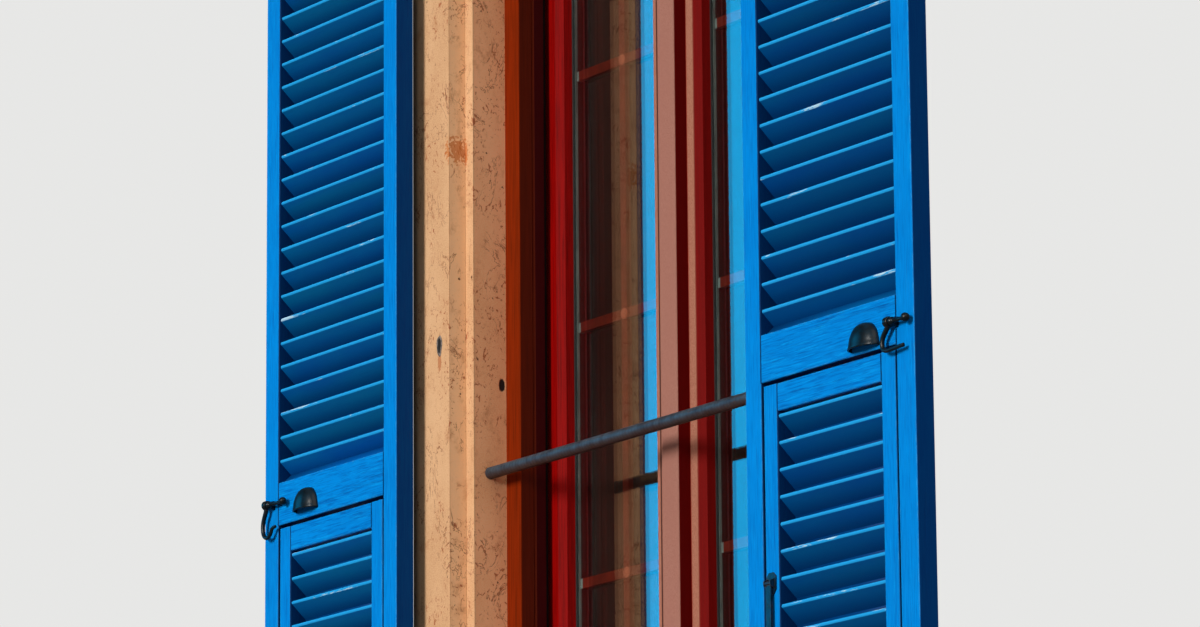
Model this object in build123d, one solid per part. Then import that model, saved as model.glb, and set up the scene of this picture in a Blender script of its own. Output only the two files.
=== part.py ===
from build123d import *
import math
import os

# A tall casement window in a rebated stone surround, with a pair of slatted shutter leaves folded open.
# Millimetres. X runs along the wall, +Y into the room, +Z up. The origin lies on the underside of the sill,
# in the middle of the width and in the plane of the stone's outer face.

# Stone surround
opening_width = 886.0
opening_height = 2034.0
rebate_width = 25.0
rebate_depth = 36.0
jamb_width = 147.5
wall_depth = 242.0
lintel_height = 150.0
sill_height = 120.0
sill_overhang = 45.0
sill_horn = 15.0
sill_fall = 6.0
nose_radius = 12.0

# Guard rail across the opening
rail_diameter = 22.0
rail_setback = 71.0
rail_height = 747.0
rail_embedment = 20.0
rail_clearance = 0.3

# Outer window frame
frame_setback = 106.0
frame_face = 47.0
lip_depth = 58.0
frame_back_width = 22.0
shadow_groove_setback = 27.0
shadow_groove_width = 1.6
shadow_groove_depth = 2.0

# Sashes and glazing
sash_setback = 174.0
sash_gap = 5.0
sash_stile = 49.0
sash_bevel = 12.0
glazing_setback = 33.0
gasket = 3.5
pane = 4.0
cavity = 16.0
glass_bite = 12.0
groove_clearance = 2.0
spacer_width = 7.0
bar_width = 18.0
bar_depth = 10.0
pane_rows = 4
daylight_from_centre = 73.0
left_meeting_edge = 4.0
left_meeting_lean = 6.0
right_meeting_edge = 13.0

# Meeting strip on the right sash
strip_left = -12.0
strip_right = 39.0
strip_projection = 26.0
strip_clearance = 1.0
strip_round = 4.0

# Shutter leaves
leaf_thickness = 37.0
leaf_standoff = 28.7
leaf_side_clearance = 2.0
leaf_centre_clearance = 2.8
leaf_seat_clearance = 1.5
leaf_bottom_gap = 6.0
leaf_top_gap = 2.5
hinge_stile_width = 44.4
free_stile_width = 48.2
top_rail_height = 80.0
mid_rail_height = 80.5
mid_rail_base = 711.5
bottom_rail_height = 85.0
arris = 1.5

# Slats
slat_pitch = 45.0
slat_thickness = 8.0
slat_slope = 42.5
slat_recess = 8.0
slat_back_recess = 1.0
slat_start = 41.0
slat_head_gap = 8.0
nose_facets = 4

# Lower flap in each leaf
flap_gap = 5.0
flap_top_gap = 7.0
flap_recess = 1.0
flap_stile_width = 38.0
flap_top_rail = 46.0
flap_bottom_rail = 69.6
flap_slat_start = 8.0
flap_slat_end = 33.0

# Forged ironwork: flats on its round outsides
forged_sides = 10

# Strap hinges and pintles of the leaves
pivot_offset = 37.0
pintle_radius = 5.0
pintle_collar_radius = 9.0
pintle_collar_height = 8.0
pintle_shank = 12.0
pintle_embedment = 60.0
pintle_top = 4.0
eye_radius = 10.0
running_clearance = 0.05
axial_clearance = 0.3
strap_thickness = 5.0
strap_width = 36.0
strap_length = 230.0
strap_tip_width = 20.0

# Butt hinges of the flap
flap_hinge_length = 60.0
flap_hinge_inset = 70.0
flap_hinge_knuckle = 3.2
flap_hinge_pin = 1.5
flap_hinge_plate = 2.5
flap_hinge_leaf = 32.0

# Hinges between frame and sash
sash_hinge_knuckle = 6.0
sash_hinge_pin = 3.0
sash_hinge_cap = 1.0
pin_end_clearance = 1.0
sash_hinge_length = 60.0
sash_hinge_plate = 3.0
sash_hinge_leaf = 20.0
sash_hinge_spread = 1600.0
sash_hinge_count = 3

# Hooded cup pull on the middle rail
hood_width = 74.0
hood_height = 42.0
hood_depth = 22.0
hood_wall = 2.0
hood_base = 9.5
hood_sides = 10
hood_tiers = 4
left_hood_offset = 349.7
right_hood_offset = 371.8

# Latch and hook
latch_pin_radius = 3.0
latch_ball = 15.0
latch_ball_rings = 5
latch_height = 38.5
latch_standoff = 12.0
latch_plate = 2.0
latch_plate_length = 34.0
latch_plate_width = 22.0
latch_lug = 6.0
latch_lug_foot = 8.4
latch_head_radius = 5.2
latch_head = 2.0
latch_strut_offset = 25.0
latch_strut_width = 4.0
latch_strut_height = 6.0
hook_wire = 6.0
hook_wire_sides = 6
hook_eye_radius = 7.5
hook_eye_length = 11.0
hook_root = 6.0
hook_bend = 7.0
left_hook_route = [(-5.0, -46.0), (8.0, -54.0), (28.0, -42.0)]
right_hook_route = [(-20.0, -20.0), (-22.0, -42.0), (24.0, -42.0)]
left_latch_offset = 477.0
left_latch_length = 59.0
right_latch_offset = 449.0
right_latch_length = 45.5

# Flap stay
stay_height = 375.0
stay_inset = 17.0
stay_width = 14.0
stay_bar = 4.0
stay_length = 280.0
stay_bracket_width = 26.0
stay_bracket_height = 36.0
stay_bracket_plate = 2.5
stay_bracket_corner = 7.0
stay_pin_radius = 2.5
stay_knuckle = 4.0
stay_ear = 2.5
stay_ear_foot = 9.0
stay_ear_tip = 4.0
stay_ear_reach = 4.5
stay_notch_start = 14.0
stay_notch_height = 8.0
stay_notch_depth = 6.0

# Window handle on the room side
handle_height = 950.0
handle_inset = 36.0
rosette_width = 30.0
rosette_height = 66.0
rosette_depth = 9.0
rosette_edge = 2.0
handle_neck_radius = 7.5
handle_neck_length = 38.0
handle_length = 118.0
handle_width = 20.0
handle_tip_width = 15.0
handle_thickness = 11.0
handle_edge = 2.5

# Sizes that follow from the ones above
half_opening = opening_width / 2
opening_top = sill_height + opening_height
centre_height = sill_height + opening_height / 2
rebate_edge = half_opening + rebate_width
jamb_edge = half_opening + jamb_width

leaf_inner_closed = rebate_depth - leaf_seat_clearance
leaf_back = -leaf_standoff
leaf_face = leaf_back - leaf_thickness
pivot_y = (leaf_face + leaf_inner_closed) / 2
leaf_width = rebate_edge - leaf_side_clearance - leaf_centre_clearance
pivot_x = rebate_edge + pivot_offset
leaf_hinge_edge = 2 * pivot_x - (rebate_edge - leaf_side_clearance)
leaf_free_edge = leaf_hinge_edge + leaf_width
leaf_bottom = sill_height + leaf_bottom_gap
leaf_top = opening_top + rebate_width - leaf_top_gap
panel_left = leaf_hinge_edge + hinge_stile_width
panel_right = leaf_free_edge - free_stile_width
mid_rail_bottom = leaf_bottom + mid_rail_base
mid_rail_top = mid_rail_bottom + mid_rail_height
bottom_rail_top = leaf_bottom + bottom_rail_height
top_rail_bottom = leaf_top - top_rail_height

flap_left = panel_left + flap_gap
flap_right = panel_right - flap_gap
flap_top = mid_rail_bottom - flap_top_gap
flap_bottom = bottom_rail_top + flap_gap
flap_face = leaf_face + flap_recess
flap_pivot_y = leaf_back + flap_hinge_plate
flap_pivot_z = (mid_rail_bottom + flap_top) / 2

sash_back = wall_depth
sash_edge = half_opening - frame_back_width - sash_gap
sash_top = opening_top - frame_back_width - sash_gap
sash_bottom = sill_height + frame_back_width + sash_gap
daylight_edge = sash_edge - sash_stile
daylight_top = sash_top - sash_stile
daylight_bottom = sash_bottom + sash_stile
gasket_front = sash_setback + glazing_setback - gasket
glass_front = sash_setback + glazing_setback
glass_back = glass_front + 2 * pane + cavity
sash_pivot_x = sash_edge + sash_gap / 2
sash_pivot_y = wall_depth + sash_hinge_knuckle
hinge_heights = [
    centre_height + sash_hinge_spread * (k / (sash_hinge_count - 1) - 0.5) for k in range(sash_hinge_count)
]
strap_heights = [leaf_bottom + bottom_rail_height / 2, leaf_top - top_rail_height / 2]


def block(x0, x1, y0, y1, z0, z1):
    """A box between two corners."""
    return Pos((x0 + x1) / 2, (y0 + y1) / 2, (z0 + z1) / 2) * Box(x1 - x0, y1 - y0, z1 - z0)


def plan_prism(points, z0, z1):
    """A plan outline in X and Y, raised from z0 to z1."""
    return Pos(0, 0, z0) * extrude(make_face(Polyline(*points, close=True)), amount=z1 - z0)


def side_prism(points, x0, x1):
    """An outline in Y and Z, drawn out along X."""
    return extrude(Plane.YZ.offset(x0) * make_face(Polyline(*points, close=True)), amount=x1 - x0)


def front_prism(points, y0, y1):
    """An outline in X and Z, drawn out along Y."""
    return extrude(Plane.XZ.offset(-y1) * make_face(Polyline(*points, close=True)), amount=y1 - y0)


def rectangle(a0, a1, b0, b1):
    """A rectangle between two corners of a sketch."""
    return Pos((a0 + a1) / 2, (b0 + b1) / 2) * Rectangle(abs(a1 - a0), abs(b1 - b0))


def rod(radius, start, end):
    """A round bar from one point to another."""
    way = Vector(*end) - Vector(*start)
    return extrude(Plane(origin=start, z_dir=way) * Circle(radius), amount=way.length)


def forged_bar(radius, start, end):
    """A bar from one point to another with hammered flats all round."""
    way = Vector(*end) - Vector(*start)
    return extrude(Plane(origin=start, z_dir=way) * RegularPolygon(radius, forged_sides), amount=way.length)


def tiered(rings):
    """A closed solid between similar outlines that lie one beyond the other, with flat facets."""
    faces = [make_face(Polyline(*rings[0], close=True)), make_face(Polyline(*rings[-1], close=True))]
    for near, far in zip(rings, rings[1:]):
        for k, corner in enumerate(near):
            n = (k + 1) % len(near)
            faces.append(make_face(Polyline(corner, near[n], far[n], far[k], close=True)))
    return Solid(Shell([f.faces()[0] for f in faces]))


def on_side(shape, side):
    """Shapes are drawn for the right-hand side; the left-hand one is the mirror image."""
    return shape if side > 0 else mirror(shape, about=Plane.YZ)


def group(shapes):
    """Like pieces that share one node stay separate solids."""
    return Compound(children=list(shapes))


def jamb():
    """Upright stone with the rebate for the leaf, a socket for the guard rail and two pintle mortises."""
    outline = [
        (half_opening, wall_depth),
        (half_opening, rebate_depth),
        (rebate_edge, rebate_depth),
        (rebate_edge, 0),
        (jamb_edge, 0),
        (jamb_edge, wall_depth),
    ]
    stone = plan_prism(outline, sill_height, opening_top)
    rail_z = sill_height + rail_height
    socket = rod(
        rail_diameter / 2 + rail_clearance,
        (half_opening - 1, rail_setback, rail_z),
        (half_opening + rail_embedment, rail_setback, rail_z),
    )
    stone -= socket
    for z in strap_heights:
        stone -= pintle_shank_block(z)
    return stone


def lintel():
    """Stone over the opening, its underside rebated between the jambs."""
    stone = block(-jamb_edge, jamb_edge, 0, wall_depth, opening_top, opening_top + lintel_height)
    return stone - block(-rebate_edge, rebate_edge, -1, rebate_depth, opening_top - 1, opening_top + rebate_width)


def sill():
    """Stone below the opening with a sloping, rounded nose outside."""
    outline = [
        (-sill_overhang, 0),
        (wall_depth, 0),
        (wall_depth, sill_height),
        (0, sill_height),
        (-sill_overhang, sill_height - sill_fall),
    ]
    end = jamb_edge + sill_horn
    stone = side_prism(outline, -end, end)
    nose = stone.edges().filter_by(Axis.X).sort_by(Axis.Y)[:2].sort_by(Axis.Z)[-1]
    return fillet(nose, nose_radius)


def guard_rail():
    """Round bar let into both reveals."""
    z = sill_height + rail_height
    end = half_opening + rail_embedment
    return rod(rail_diameter / 2, (-end, rail_setback, z), (end, rail_setback, z))


def frame_ring():
    """The four frame members before they are parted at the mitres."""
    ring = block(-half_opening, half_opening, frame_setback, wall_depth, sill_height, opening_top)
    lip = half_opening - frame_face
    lip_back = frame_setback + lip_depth
    low = sill_height + frame_face
    high = opening_top - frame_face
    ring -= block(-lip, lip, frame_setback - 1, wall_depth + 1, low, high)
    back = half_opening - frame_back_width
    ring -= block(
        -back, back, lip_back, wall_depth + 1, sill_height + frame_back_width, opening_top - frame_back_width
    )
    groove_y = frame_setback + shadow_groove_setback
    deep = shadow_groove_depth
    ring -= block(-lip - deep, lip + deep, groove_y, groove_y + shadow_groove_width, low - deep, high + deep)
    return ring


def frame_members():
    """Left, right, top and bottom members with 45 degree mitres."""
    ring = frame_ring()
    w = frame_face + shadow_groove_depth + 1
    a, low, high = half_opening, sill_height, opening_top
    outlines = {
        "frame_left_member": [(-a, low), (-a + w, low + w), (-a + w, high - w), (-a, high)],
        "frame_right_member": [(a, low), (a, high), (a - w, high - w), (a - w, low + w)],
        "frame_top_member": [(-a, high), (-a + w, high - w), (a - w, high - w), (a, high)],
        "frame_bottom_member": [(-a, low), (a, low), (a - w, low + w), (-a + w, low + w)],
    }
    return {name: ring & front_prism(points, frame_setback, wall_depth) for name, points in outlines.items()}


def sash(side):
    """One sash: bevelled rim, square return, and a groove that holds the glass unit."""
    near = daylight_from_centre
    if side > 0:
        outline = [(right_meeting_edge, sash_setback), (sash_edge, sash_setback)]
        outline += [(sash_edge, sash_back), (right_meeting_edge, sash_back)]
    else:
        outline = [(left_meeting_edge, sash_setback), (left_meeting_edge + left_meeting_lean, sash_back)]
        outline += [(-sash_edge, sash_back), (-sash_edge, sash_setback)]
    rim = plan_prism(outline, sash_bottom, sash_top)
    x0, x1 = sorted((side * near, side * daylight_edge))
    rim -= block(x0, x1, sash_setback - 1, sash_back + 1, daylight_bottom, daylight_top)
    b = sash_bevel
    wide = Plane.XZ.offset(-sash_setback) * Pos((x0 + x1) / 2, centre_height)
    deep = Plane.XZ.offset(-sash_setback - b) * Pos((x0 + x1) / 2, centre_height)
    daylight_width = x1 - x0
    daylight_height = daylight_top - daylight_bottom
    rim -= loft([
        wide * Rectangle(daylight_width + 2 * b, daylight_height + 2 * b),
        deep * Rectangle(daylight_width, daylight_height),
    ])
    g = glass_bite + groove_clearance
    rim -= block(
        x0 - g, x1 + g, gasket_front, glass_back + gasket, daylight_bottom - g, daylight_top + g
    )
    return rim


def glazing_rectangle(side, bite, y0, y1):
    """A flat plate that reaches past the daylight edge by the bite."""
    x0, x1 = sorted((side * daylight_from_centre, side * daylight_edge))
    return block(x0 - bite, x1 + bite, y0, y1, daylight_bottom - bite, daylight_top + bite)


def glass_unit(side):
    """Outer and inner pane of the double glazing."""
    outer = glazing_rectangle(side, glass_bite, glass_front, glass_front + pane)
    inner = glazing_rectangle(side, glass_bite, glass_back - pane, glass_back)
    return group([outer, inner])


def spacer_and_bars(side):
    """Hollow-looking spacer between the panes, with the cross bars that divide the view into panes."""
    y0 = glass_front + pane
    y1 = glass_back - pane
    part = glazing_rectangle(side, spacer_width, y0, y1) - glazing_rectangle(side, 0, y0 - 1, y1 + 1)
    x0, x1 = sorted((side * daylight_from_centre, side * daylight_edge))
    middle = (x0 + x1) / 2
    bar_y = (y0 + y1) / 2
    b0, b1 = bar_y - bar_depth / 2, bar_y + bar_depth / 2
    half = bar_width / 2
    upright = block(middle - half, middle + half, b0, b1, daylight_bottom - 1, daylight_top + 1)
    part += upright
    pitch = (daylight_top - daylight_bottom) / pane_rows
    for row in range(1, pane_rows):
        z = daylight_bottom + pitch * row
        part += block(x0 - 1, x1 + 1, b0, b1, z - half, z + half)
    return part


def gaskets(side):
    """Rubber strips on both sides of the glass unit."""
    rings = []
    for y0 in (gasket_front, glass_back):
        ring = glazing_rectangle(side, glass_bite, y0, y0 + gasket) - glazing_rectangle(side, 0, y0 - 1, y0 + gasket + 1)
        rings.append(ring)
    return group(rings)


def meeting_strip():
    """Strip on the right sash that covers the joint and laps over the left sash."""
    front = sash_setback - strip_projection
    outline = [
        (strip_left, front),
        (strip_right, front),
        (strip_right, sash_setback),
        (right_meeting_edge - 1, sash_setback),
        (right_meeting_edge - 1, sash_setback - strip_clearance),
        (strip_left, sash_setback - strip_clearance),
    ]
    strip = plan_prism(outline, sill_height + frame_face + strip_clearance, opening_top - frame_face - strip_clearance)
    front_edges = strip.edges().filter_by(Axis.Z).sort_by(Axis.Y)[:2]
    return fillet(front_edges, strip_round)


def eased(bar):
    """A planed timber bar with its long edges taken off."""
    longest = bar.edges().sort_by(Edge.length)[-4:]
    return chamfer(longest, arris)


def leaf_members():
    """Stiles and rails of the right-hand leaf."""
    y0, y1 = leaf_face, leaf_back
    return {
        "shutter_hinge_stile": eased(block(leaf_hinge_edge, panel_left, y0, y1, leaf_bottom, leaf_top)),
        "shutter_free_stile": eased(block(panel_right, leaf_free_edge, y0, y1, leaf_bottom, leaf_top)),
        "shutter_top_rail": eased(block(panel_left, panel_right, y0, y1, top_rail_bottom, leaf_top)),
        "shutter_mid_rail": eased(block(panel_left, panel_right, y0, y1, mid_rail_bottom, mid_rail_top)),
        "shutter_bottom_rail": eased(block(panel_left, panel_right, y0, y1, leaf_bottom, bottom_rail_top)),
    }


def slat(x0, x1):
    """One slat with a round nose at the origin of Y and Z; it slopes down to a back edge cut in line with the leaf."""
    r = slat_thickness / 2
    slope = math.radians(slat_slope)
    depth = leaf_thickness - slat_recess - slat_back_recess
    fall = depth * math.tan(slope)
    rise = r / math.cos(slope)
    turns = [math.pi * (0.5 + k / nose_facets) - slope for k in range(nose_facets + 1)]
    outline = [(depth, rise - fall)] + [(r * math.cos(t), r * math.sin(t)) for t in turns] + [(depth, -rise - fall)]
    return extrude(Plane.YZ.offset(x0) * make_face(Polyline(*outline, close=True)), amount=x1 - x0)


def slat_row(x0, x1, lowest, highest, face):
    """As many slats at the pitch as fit between two heights of their noses."""
    count = int((highest - lowest) / slat_pitch + 1e-6) + 1
    one = slat(x0, x1)
    return group([Pos(0, face + slat_recess, lowest + slat_pitch * k) * one for k in range(count)])


def upper_slats():
    """Slats between the middle rail and the top rail."""
    return slat_row(panel_left, panel_right, mid_rail_top + slat_start, top_rail_bottom - slat_head_gap, leaf_face)


def flap_members():
    """Stiles and rails of the flap."""
    y0, y1 = flap_face, leaf_back
    x0, x1 = flap_left + flap_stile_width, flap_right - flap_stile_width
    stiles = [(flap_left, x0), (x1, flap_right)]
    return {
        "flap_stiles": group([eased(block(a, b, y0, y1, flap_bottom, flap_top)) for a, b in stiles]),
        "flap_top_rail": eased(block(x0, x1, y0, y1, flap_top - flap_top_rail, flap_top)),
        "flap_bottom_rail": eased(block(x0, x1, y0, y1, flap_bottom, flap_bottom + flap_bottom_rail)),
    }


def flap_slats():
    """Slats of the flap, set out downwards from its top rail."""
    highest = flap_top - flap_top_rail - flap_slat_start
    room = highest - (flap_bottom + flap_bottom_rail) - flap_slat_end
    lowest = highest - slat_pitch * int(room / slat_pitch)
    x0, x1 = flap_left + flap_stile_width, flap_right - flap_stile_width
    return slat_row(x0, x1, lowest, highest, leaf_face)


def pintle_shank_block(z):
    """The square shank of a pintle where it runs into the stone; also the mortise for it."""
    h = pintle_shank / 2
    top = z - strap_width / 2 - axial_clearance - pintle_collar_height
    return block(pivot_x - h, pivot_x + h, 0, pintle_embedment, top - pintle_shank, top)


def pintle(z):
    """Pin, collar and square shank of one pintle."""
    collar_top = z - strap_width / 2 - axial_clearance
    collar_bottom = collar_top - pintle_collar_height
    h = pintle_shank / 2
    part = rod(pintle_radius, (pivot_x, pivot_y, collar_top), (pivot_x, pivot_y, z + strap_width / 2 + pintle_top))
    foot = (pivot_x, pivot_y, collar_bottom - pintle_shank)
    part += forged_bar(pintle_collar_radius, foot, (pivot_x, pivot_y, collar_top))
    part += block(
        pivot_x - h, pivot_x + h, pivot_y, pintle_embedment, collar_bottom - pintle_shank, collar_bottom
    )
    return part


def strap(z):
    """Strap on the leaf's back with the eye that turns on the pintle; it tapers towards its tip."""
    h = strap_width / 2
    tip = strap_tip_width / 2
    end = pivot_x + strap_length
    outline = [(pivot_x, z - h), (panel_left, z - h), (end - tip, z - tip)]
    outline += [(end, z), (end - tip, z + tip), (panel_left, z + h), (pivot_x, z + h)]
    plate = front_prism(outline, leaf_back, leaf_back + strap_thickness)
    eye = forged_bar(eye_radius, (pivot_x, pivot_y, z - h), (pivot_x, pivot_y, z + h))
    bore = rod(pintle_radius + running_clearance, (pivot_x, pivot_y, z - h - 1), (pivot_x, pivot_y, z + h + 1))
    return plate + eye - bore


def flap_hinge_centres():
    """Where the two butt hinges sit along the flap."""
    return [flap_left + flap_hinge_inset, flap_right - flap_hinge_inset]


def flap_hinge_half(x, way):
    """Half a butt hinge: way +1 is the fixed upper half with the pin, way -1 the lower half on the flap."""
    third = flap_hinge_length / 3
    y0, y1 = leaf_back, leaf_back + flap_hinge_plate
    near = flap_pivot_z + way * flap_top_gap / 2
    centre = (flap_pivot_y, flap_pivot_z)
    x0 = x - flap_hinge_length / 2
    plate = rectangle(y0, y1, near, near + way * flap_hinge_leaf)
    neck = Pos(*centre) * RegularPolygon(flap_hinge_knuckle, forged_sides) + rectangle(y0, y1, flap_pivot_z, near)
    part = extrude(Plane.YZ.offset(x0) * plate, amount=flap_hinge_length)
    if way > 0:
        for start in (x0, x0 + 2 * third):
            part += extrude(Plane.YZ.offset(start) * neck, amount=third)
        return part + rod(flap_hinge_pin, (x0 + third, *centre), (x0 + 2 * third, *centre))
    part += extrude(Plane.YZ.offset(x0 + third + axial_clearance) * neck, amount=third - 2 * axial_clearance)
    return part - rod(flap_hinge_pin + running_clearance, (x0, *centre), (x0 + flap_hinge_length, *centre))


def sash_hinge_half(z, fixed):
    """Half a lift-off hinge: the fixed half carries the pin, the other drops over it."""
    half = sash_hinge_length / 2
    centre = (sash_pivot_x, sash_pivot_y)
    way = 1 if fixed else -1
    end = sash_pivot_x + way * sash_hinge_leaf
    outline = Pos(*centre) * RegularPolygon(sash_hinge_knuckle, forged_sides)
    outline += rectangle(sash_pivot_x, end, wall_depth, wall_depth + sash_hinge_plate)
    gap = axial_clearance / 2
    low = z - half if fixed else z + gap
    part = Pos(0, 0, low) * extrude(outline, amount=half - gap)
    pin_top = z + half - sash_hinge_cap - pin_end_clearance
    if fixed:
        return part + rod(sash_hinge_pin, (*centre, z - gap), (*centre, pin_top))
    bore_top = pin_top + pin_end_clearance
    return part - rod(sash_hinge_pin + running_clearance, (*centre, low - 1), (*centre, bore_top))


def dome(width, depth, height):
    """Half a dome against the wall plane: half ellipses that shrink tier by tier towards the top."""
    reach = math.sin(math.pi / 2 * hood_tiers / (hood_tiers + 1))
    turns = [math.pi * n / hood_sides for n in range(hood_sides + 1)]
    rings = []
    for k in range(hood_tiers + 1):
        lift = math.pi / 2 * k / (hood_tiers + 1)
        share = math.cos(lift)
        z = height * math.sin(lift) / reach
        rings.append([(width / 2 * share * math.cos(t), -depth * share * math.sin(t), z) for t in turns])
    return tiered(rings)


def hood(offset, side):
    """Hollow hood of the cup pull, open below, with a wall of even thickness."""
    seat = Pos(side * (pivot_x + offset), leaf_face, mid_rail_bottom + hood_base)
    outer = dome(hood_width, hood_depth, hood_height)
    inner = dome(hood_width - 2 * hood_wall, hood_depth - hood_wall, hood_height - hood_wall)
    return seat * (outer - inner)


def latch_axis():
    """Y and Z of the pin that carries the hook."""
    return leaf_face - latch_standoff, mid_rail_bottom + latch_height


def ball(x, y, z):
    """A forged ball about the latch pin."""
    rings = []
    for k in range(latch_ball_rings):
        lift = math.pi * (k + 0.5) / latch_ball_rings
        at = x - latch_ball / 2 * math.cos(lift)
        r = latch_ball / 2 * math.sin(lift)
        turns = [2 * math.pi * n / forged_sides for n in range(forged_sides)]
        rings.append([(at, y + r * math.cos(t), z + r * math.sin(t)) for t in turns])
    return tiered(rings)


def latch(offset, length, side):
    """Plate, lug, strut, pin and ball; the ball is at the +X end on either leaf."""
    y, z = latch_axis()
    x = side * (pivot_x + offset)
    start = x - hook_eye_length / 2 - axial_clearance
    lug_x = x + hook_eye_length / 2 + axial_clearance
    half = latch_plate_width / 2
    part = block(lug_x, lug_x + latch_plate_length, leaf_face - latch_plate, leaf_face, z - half, z + half)
    foot = latch_lug_foot
    lug = [(leaf_face, z - foot), (leaf_face, z + foot), (y, z + latch_lug), (y, z - latch_lug)]
    part += side_prism(lug, lug_x, lug_x + latch_lug)
    part += forged_bar(latch_lug, (lug_x, y, z), (lug_x + latch_lug, y, z))
    part += rod(latch_pin_radius, (start, y, z), (x + length, y, z))
    part += forged_bar(latch_head_radius, (start - latch_head, y, z), (start, y, z))
    strut_x = lug_x + latch_strut_offset
    rise = latch_strut_height / 2
    part += block(strut_x, strut_x + latch_strut_width, y, leaf_face, z - rise, z + rise)
    return part + ball(x + length, y, z)


def hook(offset, side, route):
    """Wire hook that hangs from the latch pin; the route gives X and Z steps from the eye's centre."""
    y, z = latch_axis()
    x = side * (pivot_x + offset)
    points = [(x + dx, y, z + dz) for dx, dz in [(0, -hook_root)] + route]
    path = FilletPolyline(*points, radius=hook_bend)
    section = Plane(origin=path @ 0, z_dir=path % 0) * RegularPolygon(hook_wire / 2, hook_wire_sides)
    wire = sweep(section, path=path)
    half = hook_eye_length / 2
    eye = forged_bar(hook_eye_radius, (x - half, y, z), (x + half, y, z))
    bore = rod(latch_pin_radius + running_clearance, (x - half - 1, y, z), (x + half + 1, y, z))
    return eye + wire - bore


def stay_axis():
    """X, Y and Z of the stay's pivot on the flap."""
    y = flap_face - stay_bracket_plate - axial_clearance - stay_knuckle
    return flap_left + stay_inset, y, leaf_bottom + stay_height


def stay_bracket():
    """Plate with cut corners, two ears and the pivot pin, screwed to the flap's stile."""
    x, y, z = stay_axis()
    w, h = stay_bracket_width / 2, stay_bracket_height / 2
    c = stay_bracket_corner
    outline = [(x - w + c, z - h), (x + w - c, z - h), (x + w, z - h + c), (x + w, z + h - c)]
    outline += [(x + w - c, z + h), (x - w + c, z + h), (x - w, z + h - c), (x - w, z - h + c)]
    plate = front_prism(outline, flap_face - stay_bracket_plate, flap_face)
    tip = y - stay_ear_reach
    ears = [(flap_face, z - stay_ear_foot), (flap_face, z + stay_ear_foot)]
    ears += [(tip, z + stay_ear_tip), (tip, z - stay_ear_tip)]
    gap = stay_width / 2 + axial_clearance
    ear = side_prism(ears, x + gap, x + gap + stay_ear)
    other = side_prism(ears, x - gap - stay_ear, x - gap)
    pin = rod(stay_pin_radius, (x - gap, y, z), (x + gap, y, z))
    return plate + ear + other + pin


def stay():
    """Flat bar hanging from the bracket, with a hooked lower end."""
    x, y, z = stay_axis()
    w = stay_width / 2
    t = stay_bar / 2
    bar = block(x - w, x + w, y - t, y + t, z - stay_length, z)
    bar += forged_bar(stay_knuckle, (x - w, y, z), (x + w, y, z))
    low = z - stay_length + stay_notch_start
    notch = block(x - w - 1, x - w + stay_notch_depth, y - t - 1, y + t + 1, low, low + stay_notch_height)
    bore = rod(stay_pin_radius + running_clearance, (x - w - 1, y, z), (x + w + 1, y, z))
    return bar - notch - bore


def handle_place():
    """X and Z of the handle's spindle."""
    return left_meeting_edge - handle_inset, sill_height + handle_height


def rosette():
    """Plate under the handle, with its outer edges taken off."""
    x, z = handle_place()
    w, h = rosette_width / 2, rosette_height / 2
    plate = block(x - w, x + w, sash_back, sash_back + rosette_depth, z - h, z + h)
    rim = plate.faces().sort_by(Axis.Y)[-1].edges()
    return chamfer(rim, rosette_edge)


def handle():
    """Neck and tapered lever, pointing down when the window is shut."""
    x, z = handle_place()
    y0 = sash_back + rosette_depth + axial_clearance
    y1 = y0 + handle_neck_length
    w, tip = handle_width / 2, handle_tip_width / 2
    neck = rod(handle_neck_radius, (x, y0, z), (x, y1 - handle_thickness, z))
    low = z + w - handle_length
    lever = front_prism([(x - w, z + w), (x + w, z + w), (x + tip, low), (x - tip, low)], y1 - handle_thickness, y1)
    rim = lever.faces().sort_by(Axis.Y)[-1].edges()
    return neck + chamfer(rim, handle_edge)


def write(name, shape):
    """One STEP file for each node."""
    export_step(shape, f"parts/{name}.step")


def write_surround():
    """Stone, guard rail, pintles and the window frame with its hinge halves."""
    for side, word in ((-1, "left"), (1, "right")):
        write(f"{word}_jamb", on_side(jamb(), side))
    write("lintel", lintel())
    write("sill", sill())
    write("guard_rail", guard_rail())
    write("pintles", group([on_side(pintle(z), side) for side in (-1, 1) for z in strap_heights]))
    for name, member in frame_members().items():
        write(name, member)
    halves = [on_side(sash_hinge_half(z, True), side) for side in (-1, 1) for z in hinge_heights]
    write("frame_hinge_halves", group(halves))


def write_sash(side, word):
    """A sash with its glazing and hinge halves."""
    write(f"{word}_sash", sash(side))
    write(f"{word}_glass", glass_unit(side))
    write(f"{word}_spacer_bars", spacer_and_bars(side))
    write(f"{word}_gaskets", gaskets(side))
    write(f"{word}_sash_hinge_halves", group([on_side(sash_hinge_half(z, False), side) for z in hinge_heights]))


def write_shutter(side, word):
    """A shutter leaf with its flap; members are drawn on the right and mirrored."""
    members = leaf_members()
    members["shutter_slats"] = upper_slats()
    members["shutter_straps"] = group([strap(z) for z in strap_heights])
    members.update(flap_members())
    members["flap_slats"] = flap_slats()
    members["flap_hinge_fixed"] = group([flap_hinge_half(x, 1) for x in flap_hinge_centres()])
    members["flap_hinge_moving"] = group([flap_hinge_half(x, -1) for x in flap_hinge_centres()])
    members["stay_bracket"] = stay_bracket()
    members["flap_stay"] = stay()
    for name, shape in members.items():
        write(f"{word}_{name}", on_side(shape, side))


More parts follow.
